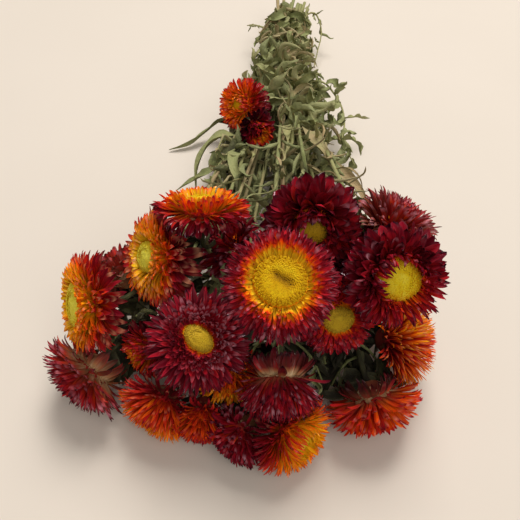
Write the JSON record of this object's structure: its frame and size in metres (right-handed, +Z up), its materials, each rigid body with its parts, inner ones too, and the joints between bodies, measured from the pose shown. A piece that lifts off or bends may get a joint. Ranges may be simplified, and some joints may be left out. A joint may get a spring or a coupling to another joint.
{
  "type": "bunch of dried strawflowers",
  "caption": "Cut bunch of dried strawflowers with papery crimson and orange blooms on leafy stems, bound with a band and lying on its side.",
  "frame": {"origin": "on the surface the bunch lies on, under the middle of its box", "axes": "+Y runs back along the stems to the cut ends, +Z is up, the blooms are at the -Y end"},
  "size_m": [0.205, 0.4616, 0.1176],
  "materials": {
    "bracts_crimson": "papery dark crimson bracts with a silky gloss",
    "bracts_russet": "papery red-orange bracts with a silky gloss",
    "bracts_orange": "papery orange and yellow bracts with a silky gloss",
    "disc": "matt yellow florets packed in a disc",
    "stem_leaf": "dull dried stems and leaves, sage to buff",
    "tie": "plain tan elastic band"
  },
  "bodies": {
    "root": {"h01_bracts": "bracts_crimson", "h01_disc": "disc", "h01_stem": "stem_leaf", "h02_bracts": "bracts_crimson", "h02_disc": "disc", "h02_stem": "stem_leaf", "h03_bracts": "bracts_crimson", "h03_disc": "disc", "h03_stem": "stem_leaf", "h04_bracts": "bracts_crimson", "h04_disc": "disc", "h04_stem": "stem_leaf", "h05_bracts": "bracts_orange", "h05_disc": "disc", "h05_stem": "stem_leaf", "h06_bracts": "bracts_russet", "h06_disc": "disc", "h06_stem": "stem_leaf", "h07_bracts": "bracts_orange", "h07_disc": "disc", "h07_stem": "stem_leaf", "h08_bracts": "bracts_crimson", "h08_stem": "stem_leaf", "h09_bracts": "bracts_russet", "h09_stem": "stem_leaf", "h10_bracts": "bracts_orange", "h10_stem": "stem_leaf", "h11_bracts": "bracts_russet", "h11_stem": "stem_leaf", "h12_bracts": "bracts_orange", "h12_stem": "stem_leaf", "h13_bracts": "bracts_crimson", "h13_stem": "stem_leaf", "h14_bracts": "bracts_orange", "h14_disc": "disc", "h14_stem": "stem_leaf", "h15_bracts": "bracts_crimson", "h15_stem": "stem_leaf", "h16_bracts": "bracts_russet", "h16_stem": "stem_leaf", "h17_bracts": "bracts_orange", "h17_stem": "stem_leaf", "h18_bracts": "bracts_crimson", "h18_disc": "disc", "h18_stem": "stem_leaf", "h19_bracts": "bracts_crimson", "h19_stem": "stem_leaf", "h20_bracts": "bracts_crimson", "h20_stem": "stem_leaf", "h21_bracts": "bracts_crimson", "h21_stem": "stem_leaf", "h22_bracts": "bracts_crimson", "h22_stem": "stem_leaf", "h23_bracts": "bracts_russet", "h23_disc": "disc", "h23_stem": "stem_leaf", "h24_bracts": "bracts_crimson", "h24_stem": "stem_leaf", "tie": "tie"}
  },
  "joints": []
}
